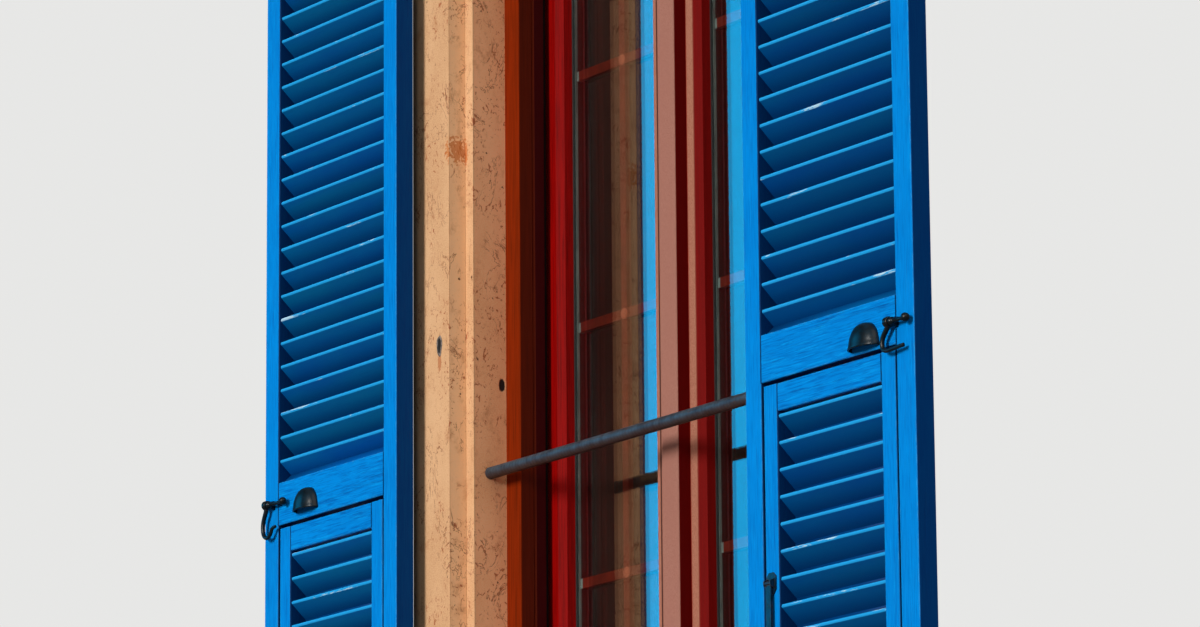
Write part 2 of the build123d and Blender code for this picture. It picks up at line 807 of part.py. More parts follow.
def write_fittings():
    """Cup pulls, latches and hooks, which are not mirror images of each other."""
    write("left_cup_pull", hood(left_hood_offset, -1))
    write("right_cup_pull", hood(right_hood_offset, 1))
    write("left_latch", latch(left_latch_offset, left_latch_length, -1))
    write("right_latch", latch(right_latch_offset, right_latch_length, 1))
    write("left_hook", hook(left_latch_offset, -1, left_hook_route))
    write("right_hook", hook(right_latch_offset, 1, right_hook_route))
    write("handle_rosette", rosette())
    write("window_handle", handle())


def main():
    os.makedirs("parts", exist_ok=True)
    write_surround()
    for side, word in ((-1, "left"), (1, "right")):
        write_sash(side, word)
        write_shutter(side, word)
    write("meeting_strip", meeting_strip())
    write_fittings()


main()
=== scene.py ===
import math

import bmesh
import bpy
import numpy as np
from mathutils import Matrix, Vector


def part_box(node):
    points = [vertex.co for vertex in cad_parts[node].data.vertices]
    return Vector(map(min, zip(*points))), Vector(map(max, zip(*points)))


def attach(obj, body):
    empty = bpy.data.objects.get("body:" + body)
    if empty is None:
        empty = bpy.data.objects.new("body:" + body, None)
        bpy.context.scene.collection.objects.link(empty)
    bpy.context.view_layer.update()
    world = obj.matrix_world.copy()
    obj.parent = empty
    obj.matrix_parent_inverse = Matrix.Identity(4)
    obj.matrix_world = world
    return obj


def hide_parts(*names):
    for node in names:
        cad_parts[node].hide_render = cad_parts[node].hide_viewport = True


# A window with slatted shutters: painted timber, stone surround, glazing and small ironwork.
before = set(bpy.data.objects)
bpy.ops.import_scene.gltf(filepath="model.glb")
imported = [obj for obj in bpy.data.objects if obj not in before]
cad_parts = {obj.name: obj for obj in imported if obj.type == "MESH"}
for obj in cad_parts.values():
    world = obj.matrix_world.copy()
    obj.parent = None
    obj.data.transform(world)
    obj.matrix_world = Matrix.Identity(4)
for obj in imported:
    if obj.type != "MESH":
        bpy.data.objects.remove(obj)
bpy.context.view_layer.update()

# Sizes shared with the construction, in metres
centre_z = 1.137
rebate_depth = 0.036
jamb_edge = 0.5905
leaf_face = -0.0657
leaf_back = -0.0287
leaf_hinge_edge = 0.544
leaf_free_edge = 1.0072
panel_left = 0.5884
panel_right = 0.9590
mid_rail_bottom = 0.8375
mid_rail_top = 0.918
top_rail_bottom = 2.0965
flap_joint_left = 0.6314
flap_joint_right = 0.9160
flap_gap_left = 0.5909
flap_gap_right = 0.9565
flap_gap_top = 0.834
slat_pitch = 0.045
slat_slope = math.radians(42.5)
slat_nose = leaf_face + 0.004
nose_step = 0.0036
frame_front = 0.1064
frame_step = 0.1385
frame_back_edge = 0.1585
sash_front = 0.1750
strip_side = 0.0382
glass_middle = 0.219
glass_seal = 0.2150
pane_reach = 0.934
pane_pitch = 0.4705
pane_column = 0.220
spacer_low = 0.080
spacer_high = 0.360

# Half widths of the battens behind the slats, and the domed caps on the glazing bars
lip_half = (0.0036, 0.0008)
low_slat_half = (0.0140, 0.0030)
fillet_half = (0.0060, 0.0008)
bead_half = (0.0078, 0.0014)
cap_radius = 0.0100
cap_rise = 0.0016

# Marks on the left jamb
stain_place = (-0.470, 0.020, centre_z + 0.327)
rust_place = (-0.501, 0.0, centre_z - 0.062)
hole_place = (-0.443, 0.097, centre_z - 0.106)
plug_place = (-0.501, 0.0, centre_z - 0.0325)
plug_half = (0.0090, 0.0195)

# Ironwork on the leaves
hood_half = 0.0392
hood_high = 0.042
hood_deep = 0.022
hood_wall = 0.002
latch_y = -0.0777
wire_radius = 0.0037
left_hook = [
    (0.0, -0.0062), (-0.0020, -0.0120), (-0.0130, -0.032), (-0.0120, -0.055),
    (0.0040, -0.064), (0.0160, -0.055), (0.0210, -0.045), (0.0320, -0.044),
]
right_hook = [
    (0.0, -0.0062), (-0.0040, -0.0110), (-0.0160, -0.024), (-0.0170, -0.041),
    (-0.0060, -0.0465), (0.0180, -0.0450), (0.0400, -0.0435),
]

# The camera of the photograph: lens, place and turn
lens_pixels = 5755.5
photo_width = 1200.0
sensor_width = 36.0
camera_place = (8.12074, -5.46525, centre_z - 2.19632)
camera_yaw = 55.995
camera_pitch = 12.281
camera_roll = -0.4665

# Light: a low sun in front and a little to the right, a soft lamp from the upper right
sun_slant = -0.20
sun_drop = 0.25
sun_strength = 3.05
sun_spread = 19.0
side_travel = (-0.9, 0.35, -0.75)
side_strength = 0.8
side_spread = 50.0
sky_fill = 0.09

# Where the camera sees the sky mirrored in the panes
mirror_way = (-0.811, -0.546, 0.213)


def linear(red, green, blue):
    """A colour written in the usual 0 to 255 scale, as the linear values that a shader takes."""
    values = np.array([red, green, blue]) / 255.0
    low = values / 12.92
    high = ((values + 0.055) / 1.055) ** 2.4
    return (*np.where(values <= 0.04045, low, high).tolist(), 1.0)


class Nodes:
    """A short way to build a material's node tree."""

    def __init__(self, name):
        self.material = bpy.data.materials.new(name)
        self.material.use_nodes = True
        self.tree = self.material.node_tree
        self.shader = self.tree.nodes["Principled BSDF"]
        self.out = self.tree.nodes["Material Output"]
        self.place = self.add("ShaderNodeTexCoord").outputs["Object"]

    def add(self, kind, **settings):
        node = self.tree.nodes.new(kind)
        for key, value in settings.items():
            setattr(node, key, value)
        return node

    def join(self, source, target):
        self.tree.links.new(source, target)

    def put(self, target, value):
        """Links a socket or writes a plain value."""
        if isinstance(value, bpy.types.NodeSocket):
            self.join(value, target)
        else:
            target.default_value = value

    def stretched(self, scale, shift=(0, 0, 0)):
        node = self.add("ShaderNodeMapping")
        self.join(self.place, node.inputs["Vector"])
        node.inputs["Scale"].default_value = scale
        node.inputs["Location"].default_value = shift
        return node.outputs["Vector"]

    def noise(self, scale, stretch=(1, 1, 1), detail=4.0, rough=0.55, warp=0.0, shift=(0, 0, 0)):
        node = self.add("ShaderNodeTexNoise")
        self.join(self.stretched(stretch, shift), node.inputs["Vector"])
        node.inputs["Scale"].default_value = scale
        node.inputs["Detail"].default_value = detail
        node.inputs["Roughness"].default_value = rough
        node.inputs["Distortion"].default_value = warp
        return node.outputs["Fac"]

    def ramp(self, value, low, high, start=0.0, end=1.0, smooth=True):
        """Maps low..high to start..end and stops at both ends."""
        node = self.add("ShaderNodeMapRange")
        node.interpolation_type = "SMOOTHSTEP" if smooth else "LINEAR"
        self.put(node.inputs["Value"], value)
        node.inputs["From Min"].default_value = low
        node.inputs["From Max"].default_value = high
        node.inputs["To Min"].default_value = start
        node.inputs["To Max"].default_value = end
        return node.outputs["Result"]

    def math(self, operation, first, second=0.0):
        node = self.add("ShaderNodeMath", operation=operation)
        self.put(node.inputs[0], first)
        self.put(node.inputs[1], second)
        return node.outputs[0]

    def times(self, first, second):
        """The product of two values."""
        return self.math("MULTIPLY", first, second)

    def most(self, first, second):
        """The larger of two values."""
        return self.math("MAXIMUM", first, second)

    def inverse(self, mask):
        """What a mask leaves open."""
        return self.math("SUBTRACT", 1.0, mask)

    def size(self, value):
        """A value without its sign."""
        return self.math("ABSOLUTE", value)

    def away(self, value, place):
        """How far a value is from a place, on either side of it."""
        return self.size(self.math("SUBTRACT", value, place))

    def band(self, value, start, end, soft=0.0006, soft_end=None):
        """A mask that is 1 between two places along an axis, with soft ends."""
        last = soft if soft_end is None else soft_end
        return self.times(self.ramp(value, start, start + soft), self.ramp(value, end - last, end, 1.0, 0.0))

    def mix(self, amount, first, second):
        node = self.add("ShaderNodeMix", data_type="RGBA")
        self.put(node.inputs["Factor"], amount)
        self.put(node.inputs["A"], first)
        self.put(node.inputs["B"], second)
        return node.outputs["Result"]

    def axis(self, letter):
        node = self.add("ShaderNodeSeparateXYZ")
        self.join(self.place, node.inputs["Vector"])
        return node.outputs[letter]

    def relief(self, height, strength, distance, under=None):
        node = self.add("ShaderNodeBump")
        self.put(node.inputs["Height"], height)
        node.inputs["Strength"].default_value = strength
        node.inputs["Distance"].default_value = distance
        if under is not None:
            self.join(under, node.inputs["Normal"])
        self.join(node.outputs["Normal"], self.shader.inputs["Normal"])
        return node.outputs["Normal"]

    def finish(self, colour, roughness, **sockets):
        self.put(self.shader.inputs["Base Color"], colour)
        self.put(self.shader.inputs["Roughness"], roughness)
        for key, value in sockets.items():
            self.shader.inputs[key.replace("_", " ")].default_value = value
        return self.material


def set_camera():
    """Camera axes from yaw, pitch and roll: forward, then right and up turned by the roll."""
    yaw, pitch, roll = (math.radians(v) for v in (camera_yaw, camera_pitch, camera_roll))
    forward = Vector((-math.sin(yaw) * math.cos(pitch), math.cos(yaw) * math.cos(pitch), math.sin(pitch)))
    level = Vector((math.cos(yaw), math.sin(yaw), 0.0))
    upright = level.cross(forward)
    right = level * math.cos(roll) + upright * math.sin(roll)
    up = upright * math.cos(roll) - level * math.sin(roll)
    data = bpy.data.cameras.new("photo_camera")
    data.sensor_width = sensor_width
    data.lens = lens_pixels / photo_width * sensor_width
    data.clip_end = 100.0
    camera = bpy.data.objects.new("photo_camera", data)
    turn = Matrix((right, up, -forward)).transposed().to_4x4()
    camera.matrix_world = Matrix.Translation(camera_place) @ turn
    bpy.context.collection.objects.link(camera)
    bpy.context.scene.camera = camera


def add_sun(name, travel, strength, spread, colour):
    """A far lamp; its light travels along the given direction."""
    data = bpy.data.lights.new(name, "SUN")
    data.energy = strength
    data.angle = math.radians(spread)
    data.color = colour
    lamp = bpy.data.objects.new(name, data)
    lamp.rotation_euler = Vector(travel).to_track_quat("-Z", "Y").to_euler()
    bpy.context.collection.objects.link(lamp)


def mirrored_sky(tree):
    """What gloss shows: a patch of blue sky to the left, dark leaves round it and grey elsewhere."""
    way = tree.nodes.new("ShaderNodeTexCoord").outputs["Generated"]
    towards = tree.nodes.new("ShaderNodeVectorMath")
    towards.operation = "DOT_PRODUCT"
    tree.links.new(way, towards.inputs[0])
    towards.inputs[1].default_value = Vector(mirror_way).normalized()
    bands = tree.nodes.new("ShaderNodeValToRGB")
    ramp = bands.color_ramp
    ramp.elements[0].position = 0.55
    ramp.elements[0].color = (0.10, 0.105, 0.11, 1.0)
    ramp.elements[1].position = 0.86
    ramp.elements[1].color = (0.002, 0.008, 0.016, 1.0)
    for position, colour in ((0.962, (0.002, 0.008, 0.016, 1.0)), (0.972, (0.008, 0.48, 0.98, 1.0))):
        ramp.elements.new(position).color = colour
    tree.links.new(towards.outputs["Value"], bands.inputs["Fac"])
    shown = tree.nodes.new("ShaderNodeBackground")
    tree.links.new(bands.outputs["Color"], shown.inputs["Color"])
    shown.inputs["Strength"].default_value = 3.0
    return shown


def set_light():
    """A low sun in front, a soft warm lamp from the upper right and an even sky."""
    add_sun("key", (sun_slant, 1.0, -sun_drop), sun_strength, sun_spread, (1.0, 0.965, 0.91))
    add_sun("side", side_travel, side_strength, side_spread, (1.0, 0.84, 0.70))
    world = bpy.data.worlds.new("studio")
    world.use_nodes = True
    tree = world.node_tree
    plain = tree.nodes["Background"]
    plain.inputs["Color"].default_value = (0.86, 0.92, 1.0, 1.0)
    plain.inputs["Strength"].default_value = sky_fill
    seen = tree.nodes.new("ShaderNodeBackground")
    seen.inputs["Color"].default_value = (0.80, 0.80, 0.79, 1.0)
    path = tree.nodes.new("ShaderNodeLightPath")
    straight = tree.nodes.new("ShaderNodeMath")
    straight.operation = "MAXIMUM"
    tree.links.new(path.outputs["Is Camera Ray"], straight.inputs[0])
    tree.links.new(path.outputs["Is Transmission Ray"], straight.inputs[1])
    first = tree.nodes.new("ShaderNodeMixShader")
    tree.links.new(path.outputs["Is Glossy Ray"], first.inputs["Fac"])
    tree.links.new(plain.outputs["Background"], first.inputs[1])
    tree.links.new(mirrored_sky(tree).outputs["Background"], first.inputs[2])
    second = tree.nodes.new("ShaderNodeMixShader")
    tree.links.new(straight.outputs[0], second.inputs["Fac"])
    tree.links.new(first.outputs["Shader"], second.inputs[1])
    tree.links.new(seen.outputs["Background"], second.inputs[2])
    tree.links.new(second.outputs["Shader"], tree.nodes["World Output"].inputs["Surface"])
    bpy.context.scene.world = world
    bpy.context.scene.view_settings.view_transform = "Standard"


def set_floor():
    """A pale floor under the sill, seen a little brighter than it is lit, and open from below."""
    mesh = bpy.data.meshes.new("floor")
    reach = 9.0
    corners = [(-reach, -reach), (reach, -reach), (reach, reach), (-reach, reach)]
    mesh.from_pydata([(x, y, -0.001) for x, y in corners], [], [(0, 1, 2, 3)])
    floor = bpy.data.objects.new("floor", mesh)
    bpy.context.collection.objects.link(floor)
    n = Nodes("floor_pale")
    path = n.add("ShaderNodeLightPath")
    shade = n.mix(path.outputs["Is Camera Ray"], (0.30, 0.30, 0.30, 1.0), (0.72, 0.71, 0.69, 1.0))
    n.finish(shade, 0.9)
    n.shader.inputs["Emission Color"].default_value = (0.90, 0.89, 0.87, 1.0)
    n.put(n.shader.inputs["Emission Strength"], n.times(path.outputs["Is Camera Ray"], 0.28))
    clear = n.add("ShaderNodeBsdfTransparent")
    side = n.add("ShaderNodeNewGeometry")
    either = n.add("ShaderNodeMixShader")
    n.join(side.outputs["Backfacing"], either.inputs["Fac"])
    n.join(n.shader.outputs["BSDF"], either.inputs[1])
    n.join(clear.outputs["BSDF"], either.inputs[2])
    n.join(either.outputs["Shader"], n.out.inputs["Surface"])
    mesh.materials.append(n.material)


def give(node, material):
    """Dresses a node of the construction."""
    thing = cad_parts[node]
    thing.data.materials.clear()
    thing.data.materials.append(material)


def timber_paint(name, along, colour, shade, grain=1.0):
    """Brushed paint on timber; the grain runs along one axis and shows through as fine dark lines."""
    n = Nodes(name)
    long_way = {"X": (0.05, 1, 1), "Z": (1, 1, 0.05)}[along]
    streaks = n.noise(380, long_way, detail=3, rough=0.6)
    grooves = n.noise(130, long_way, detail=6, rough=0.7, warp=0.5)
    cracks = n.ramp(grooves, 0.56, 0.70)
    cloud = n.noise(9, (1, 1, 1), detail=3)
    tone = n.mix(n.ramp(cloud, 0.35, 0.7, 0.0, 0.45), colour, shade)
    tone = n.mix(n.ramp(streaks, 0.42, 0.70, 0.0, 0.9 * grain), tone, linear(0, 98, 182))
    tone = n.mix(n.times(cracks, 0.6 * grain), tone, linear(0, 72, 158))
    pale = n.ramp(n.noise(300, long_way, detail=4, rough=0.7, shift=(5, 2, 1)), 0.54, 0.68, 0.0, 0.7 * grain)
    tone = n.mix(pale, tone, linear(6, 158, 238))
    rim = edge_wear(n)
    tone = n.mix(n.times(rim, 0.5), tone, linear(96, 190, 235))
    # Painted shade: the end faces of the leaves are darkened to navy.
    tone = n.mix(shaded_leaf_edges(n), tone, linear(0, 34, 100))
    # Dark joint lines, and painted shade in the gaps round the flap.
    tone = n.mix(n.times(joints_and_gap_shade(n), 0.9), tone, linear(0, 22, 72))
    dull = n.ramp(n.noise(30, (1, 1, 1), detail=4), 0.3, 0.7, 0.42, 0.58)
    fine = n.relief(streaks, 0.18 * grain, 0.0006)
    n.relief(n.inverse(cracks), 0.6 * grain, 0.0010, under=fine)
    return n.finish(tone, dull, Specular_IOR_Level=0.05)


def edge_wear(n):
    """Worn arrises: where the rounded-off normal leaves the true one, broken up by noise."""
    turn = n.add("ShaderNodeBevel", samples=4)
    turn.inputs["Radius"].default_value = 0.0016
    flat = n.add("ShaderNodeNewGeometry")
    across = n.add("ShaderNodeVectorMath", operation="DOT_PRODUCT")
    n.join(turn.outputs["Normal"], across.inputs[0])
    n.join(flat.outputs["Normal"], across.inputs[1])
    rim = n.ramp(across.outputs["Value"], 0.90, 0.99, 1.0, 0.0)
    return n.times(rim, n.ramp(n.noise(60, (1, 1, 1), detail=5, rough=0.7), 0.45, 0.6))


def shaded_leaf_edges(n):
    """Painted shade on the end faces of the leaves, at the hinge edge and at the free edge."""
    reach = n.size(n.axis("X"))
    inner = n.ramp(reach, leaf_hinge_edge + 0.0004, leaf_hinge_edge + 0.0009, 1.0, 0.0)
    outer = n.ramp(reach, leaf_free_edge - 0.0009, leaf_free_edge - 0.0004, 0.0, 1.0)
    return n.times(n.most(inner, outer), 0.85)


def joints_and_gap_shade(n):
    """Dark lines where stiles and rails meet, and painted shade on the faces in the gaps round the flap."""
    reach = n.size(n.axis("X"))
    low = n.ramp(n.axis("Z"), mid_rail_bottom - 0.0004, mid_rail_bottom, 1.0, 0.0)

    def line(places, half):
        return n.most(*[n.ramp(n.away(reach, x), half * 0.6, half, 1.0, 0.0) for x in places])

    upper = n.times(line((panel_left, panel_right), 0.0021), n.inverse(low))
    # Joint lines at the flap's stiles, and wider lines of painted shade at the gaps beside the flap.
    flap = n.most(
        line((flap_joint_left, flap_joint_right), 0.0019),
        line((flap_gap_left, flap_gap_right), 0.0042),
    )
    lower = n.times(flap, low)
    # Painted shade in the gap across, under the mid rail.
    across = n.ramp(n.away(n.axis("Z"), flap_gap_top), 0.0034, 0.0038, 1.0, 0.0)
    across = n.times(across, n.ramp(reach, panel_left - 0.001, panel_left))
    across = n.times(across, n.ramp(reach, panel_right, panel_right + 0.001, 1.0, 0.0))
    return n.most(n.most(upper, lower), across)


def slat_paint(name, lowest):
    """The slats' paint: grey-green tone on some slats, painted shade darkening each slat towards the back, a
    painted highlight along the top of each nose with bare chips on it, darker on the right leaf.
    """
    n = Nodes(name)
    streaks = n.noise(420, (0.05, 1, 1), detail=3, rough=0.6)
    each = n.noise(22, (0.02, 0.02, 1), detail=0)
    cloud = n.noise(16, (0.25, 1, 1), detail=4)
    tone = n.mix(n.ramp(cloud, 0.3, 0.7), linear(0, 100, 168), linear(0, 86, 168))
    tone = n.mix(n.ramp(each, 0.3, 0.7, 0.0, 0.4), tone, linear(0, 106, 146))
    tone = n.mix(n.ramp(n.axis("X"), -0.4, 0.4, 0.0, 0.4), tone, linear(0, 58, 124))
    # Painted shade: each slat darkens towards the back of the leaf.
    deep = n.ramp(n.axis("Y"), slat_nose + 0.004, leaf_back, 0.0, 0.8)
    tone = n.mix(deep, tone, linear(0, 50, 108))
    tone = n.mix(n.ramp(streaks, 0.5, 0.8, 0.0, 0.35), tone, linear(0, 70, 136))
    # Painted highlight: a light band along the front of each nose, on its upper part only; bare chips show
    # only within it.
    nose = n.ramp(n.axis("Y"), slat_nose + 0.0006, slat_nose + 0.0016, 1.0, 0.0)
    rise = n.math("MODULO", n.math("SUBTRACT", n.axis("Z"), lowest - slat_pitch), slat_pitch)
    nose = n.times(nose, n.ramp(rise, nose_step, nose_step + 0.0010, 0.25, 1.0))
    tone = n.mix(nose, tone, linear(34, 160, 230))
    chips = n.ramp(n.noise(48, (0.10, 0.3, 1), detail=5, rough=0.7), 0.59, 0.63)
    tone = n.mix(n.times(n.times(chips, nose), 0.8), tone, linear(190, 222, 235))
    n.relief(streaks, 0.2, 0.0006)
    return n.finish(tone, 0.5, Specular_IOR_Level=0.06)


def frame_paint(name, main, deep, worn, dust=0.2):
    """Red-brown stain on planed timber, with fine grain lines and worn specks; painted shade darkens the
    deeper steps of the profile, with a painted highlight line at one step and near black painted shade in the
    gap at the back.
    """
    n = Nodes(name)
    streaks = n.noise(300, (1, 1, 0.03), detail=3, rough=0.6)
    tone = n.mix(n.ramp(streaks, 0.35, 0.75), main, deep)
    specks = n.noise(900, (1, 1, 0.5), detail=2)
    tone = n.mix(n.ramp(specks, 0.5, 0.75, 0.0, dust), tone, worn)
    depth = n.axis("Y")
    # Painted shade: the deeper faces of the profile are darkened.
    inner = n.band(depth, frame_front, 0.173, 0.0021, 0.003)
    tone = n.mix(n.times(inner, 0.75), tone, linear(64, 16, 6))
    # Painted highlight: a lighter line along the edge of the step.
    step = n.ramp(n.away(depth, frame_step), 0.0006, 0.0012, 0.6, 0.0)
    tone = n.mix(step, tone, linear(112, 40, 24))
    # Painted shade: darker still behind the step, near black in the gap at the back.
    behind = n.ramp(depth, frame_step + 0.0003, frame_step + 0.0011)
    tone = n.mix(n.times(behind, inner), tone, linear(56, 4, 6))
    last = n.ramp(depth, frame_back_edge, frame_back_edge + 0.0015)
    tone = n.mix(n.times(last, inner), tone, linear(10, 4, 4))
    n.relief(streaks, 0.1, 0.0004)
    return n.finish(tone, 0.5, Specular_IOR_Level=0.05)


def chalky_paint(name):
    """Sun-bleached red paint, gone pink and matt, with fine grain; still dark red on the side face."""
    n = Nodes(name)
    specks = n.noise(1100, (1, 1, 0.5), detail=2)
    cloud = n.noise(12, (1, 1, 0.3), detail=3)
    tone = n.mix(n.ramp(specks, 0.3, 0.75), linear(172, 122, 108), linear(140, 92, 82))
    tone = n.mix(n.ramp(cloud, 0.35, 0.7, 0.0, 0.4), tone, linear(158, 106, 94))
    tone = n.mix(n.ramp(n.axis("X"), strip_side, strip_side + 0.0006), tone, linear(94, 3, 2))
    n.relief(specks, 0.15, 0.0005)
    return n.finish(tone, 0.7, Specular_IOR_Level=0.05)


def sash_paint(name):
    """Red stain on the sashes, bleached where the two meet, with dark lines beside the meeting strip."""
    n = Nodes(name)
    x = n.axis("X")
    streaks = n.noise(300, (1, 1, 0.03), detail=3, rough=0.6)
    tone = n.mix(n.ramp(streaks, 0.35, 0.75), linear(140, 2, 1), linear(104, 1, 1))
    tone = n.mix(n.times(n.ramp(x, 0.02, 0.07), 0.75), tone, linear(106, 4, 2))
    specks = n.noise(900, (1, 1, 0.5), detail=2)
    tone = n.mix(n.ramp(specks, 0.5, 0.75, 0.0, 0.2), tone, linear(150, 30, 20))
    front = n.ramp(n.axis("Y"), sash_front, sash_front + 0.0004, 1.0, 0.0)
    faded = n.mix(n.ramp(specks, 0.3, 0.75), linear(176, 120, 100), linear(148, 92, 74))
    tone = n.mix(n.times(n.band(x, 0.0390, 0.0630, 0.0040), front), tone, faded)
    tone = n.mix(n.times(n.band(x, -0.0740, -0.0100), front), tone, faded)
    dark = n.most(n.band(x, -0.0745, -0.0715), n.band(x, -0.0530, -0.0480))
    tone = n.mix(n.times(dark, n.times(front, 0.85)), tone, linear(48, 18, 16))
    n.relief(streaks, 0.1, 0.0004)
    return n.finish(tone, 0.5, Specular_IOR_Level=0.05)


def spot(n, centre, radii, ragged=0.25):
    """A mask that is 1 inside an ellipsoid with a ragged edge and 0 outside it."""
    shift = n.add("ShaderNodeVectorMath", operation="SUBTRACT")
    n.join(n.place, shift.inputs[0])
    shift.inputs[1].default_value = centre
    scale = n.add("ShaderNodeVectorMath", operation="DIVIDE")
    n.join(shift.outputs["Vector"], scale.inputs[0])
    scale.inputs[1].default_value = radii
    far = n.add("ShaderNodeVectorMath", operation="LENGTH")
    n.join(scale.outputs["Vector"], far.inputs[0])
    rough = n.times(n.math("SUBTRACT", n.noise(180, (1, 1, 1), detail=3), 0.5), ragged * 4)
    return n.ramp(n.math("ADD", far.outputs["Value"], rough), 0.8, 1.1, 1.0, 0.0)


def limestone(name):
    """Warm porous stone: cream faces, orange reveals lightened as painted light, the rebate's side face
    lightened as painted light, brown veins, flecks, pits, and a painted shadow of the leaves on the jamb.
    """
    n = Nodes(name)
    cloud = n.noise(7, (1, 1, 0.6), detail=5, rough=0.6)
    grit = n.noise(420, (1, 1, 1), detail=3, rough=0.65)
    cream = n.mix(n.ramp(cloud, 0.3, 0.7), linear(214, 168, 126), linear(196, 146, 104))
    # The reveals take a lighter, warmer tone: partly the stone's own tone, partly painted light that lifts
    # the shaded reveals.
    warm = n.mix(n.ramp(cloud, 0.3, 0.7), linear(242, 178, 134), linear(224, 156, 110))
    inward = n.ramp(n.axis("Y"), rebate_depth + 0.0006, rebate_depth + 0.004)
    tone = n.mix(inward, cream, warm)
    # Painted light: the rebate's side face is lightened, standing in for light that it does not get.
    rebate = n.band(n.axis("Y"), 0.0006, rebate_depth - 0.0006, 0.0014)
    tone = n.mix(n.times(rebate, 0.8), tone, linear(252, 206, 160))
    tone = n.mix(n.ramp(grit, 0.3, 0.7, 0.0, 0.5), tone, linear(232, 196, 156))
    patches = n.ramp(n.noise(26, (1, 1, 0.8), detail=6, rough=0.7), 0.52, 0.74)
    tone = n.mix(n.times(patches, 0.5), tone, linear(166, 100, 56))
    field = n.ramp(n.noise(12, (1, 1, 0.7), detail=3, shift=(4, 1, 7)), 0.40, 0.60, 0.08, 1.0)
    fleck = n.ramp(n.noise(125, (1, 0.7, 0.6), detail=5, rough=0.65, warp=1.6), 0.575, 0.635)
    fleck = n.times(fleck, field)
    tone = n.mix(n.times(fleck, 0.8), tone, linear(150, 60, 16))
    lines = n.noise(16, (1, 0.8, 0.5), detail=5, rough=0.6, warp=1.5, shift=(2, 9, 4))
    vein = n.ramp(n.away(lines, 0.5), 0.0, 0.012, 1.0, 0.0)
    vein = n.times(vein, n.ramp(n.noise(9, (1, 1, 1), detail=3, shift=(8, 3, 5)), 0.46, 0.56))
    tone = n.mix(n.times(vein, 0.8), tone, linear(116, 52, 20))
    pits = n.ramp(n.noise(75, (1, 1, 0.8), detail=5, rough=0.6, shift=(6, 6, 1)), 0.69, 0.72)
    tone = n.mix(n.times(pits, 0.85), tone, linear(84, 46, 28))
    stain = spot(n, stain_place, (0.012, 0.03, 0.022), 0.9)
    tone = n.mix(n.times(stain, 0.7), tone, linear(196, 104, 30))
    rust = spot(n, rust_place, (0.006, 0.03, 0.018))
    tone = n.mix(n.times(rust, 0.6), tone, linear(170, 88, 40))
    hole = spot(n, hole_place, (0.03, 0.0065, 0.012), 0.08)
    tone = n.mix(hole, tone, linear(40, 32, 30))
    # Painted shadow: the jamb's outer face is darkened beside and behind the leaves, standing for the shadow
    # they cast.
    leaf_shadow = n.ramp(n.size(n.axis("X")), jamb_edge - 0.024, jamb_edge - 0.004, 0.0, 0.75)
    leaf_shadow = n.times(leaf_shadow, n.ramp(n.axis("Y"), 0.0, 0.002, 1.0, 0.0))
    tone = n.mix(leaf_shadow, tone, linear(74, 62, 54))
    first = n.relief(grit, 0.3, 0.0010)
    second = n.relief(n.inverse(n.most(pits, hole)), 0.9, 0.0030, under=first)
    n.relief(n.inverse(n.most(vein, fleck)), 0.07, 0.0010, under=second)
    return n.finish(tone, 0.9, Specular_IOR_Level=0.1)


def pane_glass(name):
    """Double glazing: both panes mirror more at a slant; the outer one is clear, the inner one tinted dark as
    painted shade for the unlit room behind.
    """
    n = Nodes(name)
    n.tree.nodes.remove(n.shader)
    room_shade_pane = n.ramp(n.axis("Y"), glass_middle - 0.001, glass_middle + 0.001, smooth=False)
    haze = n.noise(6, (1, 1, 0.4), detail=2)
    clear = n.mix(n.ramp(haze, 0.3, 0.7), (0.90, 0.92, 0.91, 1.0), (0.86, 0.87, 0.86, 1.0))
    # Painted shade: the inner pane is tinted dark, standing for the unlit room behind the window.
    room_shade_cloud = n.noise(5, (1, 1, 0.2), detail=2)
    dark = n.mix(n.ramp(room_shade_cloud, 0.3, 0.7), (0.20, 0.16, 0.14, 1.0), (0.12, 0.10, 0.09, 1.0))
    through = n.add("ShaderNodeBsdfTransparent")
    n.join(n.mix(room_shade_pane, clear, dark), through.inputs["Color"])
    gloss = n.add("ShaderNodeBsdfPrincipled")
    gloss.inputs["Base Color"].default_value = (0.94, 0.95, 0.96, 1.0)
    gloss.inputs["Metallic"].default_value = 1.0
    gloss.inputs["Roughness"].default_value = 0.015
    tilt = n.add("ShaderNodeLayerWeight")
    tilt.inputs["Blend"].default_value = 0.5
    rise = n.math("POWER", tilt.outputs["Facing"], 4.0)
    share = n.add("ShaderNodeMixShader")
    n.join(n.math("ADD", n.times(rise, 0.88), 0.12), share.inputs["Fac"])
    n.join(through.outputs["BSDF"], share.inputs[1])
    n.join(gloss.outputs["BSDF"], share.inputs[2])
    n.join(share.outputs["Shader"], n.out.inputs["Surface"])
    return n.material


def spacer_finish(name, low, high):
    """Grey metal and a dark seal round the edge of the glazing, reddish bars between the panes."""
    n = Nodes(name)
    reach = n.size(n.axis("X"))
    side = n.most(n.ramp(reach, high, high + 0.0004), n.ramp(reach, low - 0.0004, low, 1.0, 0.0))
    ends = n.ramp(n.away(n.axis("Z"), centre_z), pane_reach - 0.0004, pane_reach)
    rim = n.most(side, ends)
    cloud = n.noise(50, (1, 1, 0.4), detail=3)
    bars = n.mix(n.ramp(cloud, 0.3, 0.7), linear(120, 34, 16), linear(98, 26, 12))
    metal = n.mix(n.ramp(cloud, 0.3, 0.7), linear(150, 172, 168), linear(120, 142, 140))
    metal = n.mix(n.ramp(n.axis("Y"), glass_seal, glass_seal + 0.0012), metal, linear(26, 22, 20))
    return n.finish(n.mix(rim, bars, metal), 0.55, Specular_IOR_Level=0.2)


